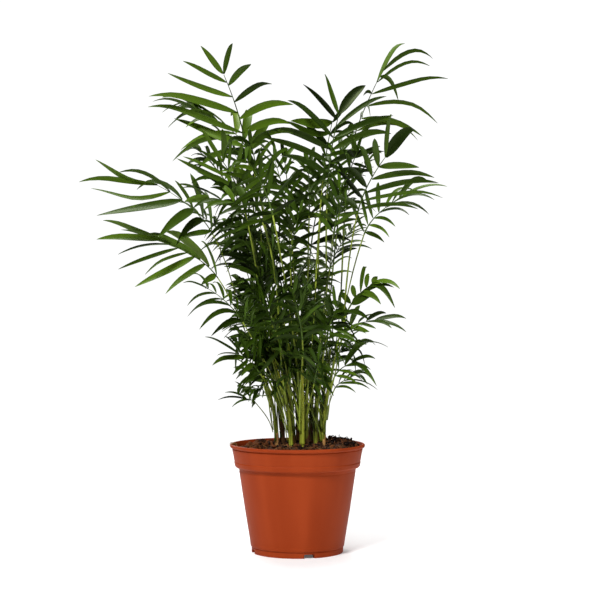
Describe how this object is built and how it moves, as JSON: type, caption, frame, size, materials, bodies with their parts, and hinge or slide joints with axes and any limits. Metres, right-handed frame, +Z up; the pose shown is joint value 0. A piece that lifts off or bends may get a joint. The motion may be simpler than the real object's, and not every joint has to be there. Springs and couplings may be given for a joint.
{
  "type": "potted parlour palm",
  "caption": "Parlour palm: a clump of slender green canes with long arching feather fronds, in a round tapered terracotta-coloured nursery pot filled with peat.",
  "frame": {"origin": "centre of the pot's underside, on the surface that the pot stands on", "axes": "+Z up along the pot's axis to the tips of the highest fronds, -Y towards the front, +X to the right seen from the front"},
  "size_m": [0.4582, 0.3286, 0.6469],
  "materials": {
    "pot": "satin",
    "peat": "matte",
    "cane": "satin",
    "leaf": "satin"
  },
  "bodies": {
    "root": {"pot": "pot", "peat": "peat", "cane_01": "cane", "cane_02": "cane", "cane_03": "cane", "cane_04": "cane", "cane_05": "cane", "cane_06": "cane", "cane_07": "cane", "cane_08": "cane", "cane_09": "cane", "cane_10": "cane", "cane_11": "cane", "cane_12": "cane", "frond_01": "leaf", "frond_02": "leaf", "frond_03": "leaf", "frond_04": "leaf", "frond_05": "leaf", "frond_06": "leaf", "frond_07": "leaf", "frond_08": "leaf", "frond_09": "leaf", "frond_10": "leaf", "frond_11": "leaf", "frond_12": "leaf", "frond_13": "leaf", "frond_14": "leaf", "frond_15": "leaf", "frond_16": "leaf", "frond_17": "leaf", "frond_18": "leaf", "frond_19": "leaf", "frond_20": "leaf", "frond_21": "leaf", "frond_22": "leaf", "frond_23": "leaf", "frond_24": "leaf", "frond_25": "leaf", "frond_26": "leaf", "frond_27": "leaf", "frond_28": "leaf", "frond_29": "leaf", "frond_30": "leaf", "frond_31": "leaf", "frond_32": "leaf", "frond_33": "leaf", "frond_34": "leaf", "frond_35": "leaf", "frond_36": "leaf", "frond_37": "leaf", "frond_38": "leaf", "frond_39": "leaf", "frond_40": "leaf", "frond_41": "leaf", "frond_42": "leaf", "frond_43": "leaf", "frond_44": "leaf", "frond_45": "leaf", "frond_46": "leaf"}
  },
  "joints": []
}
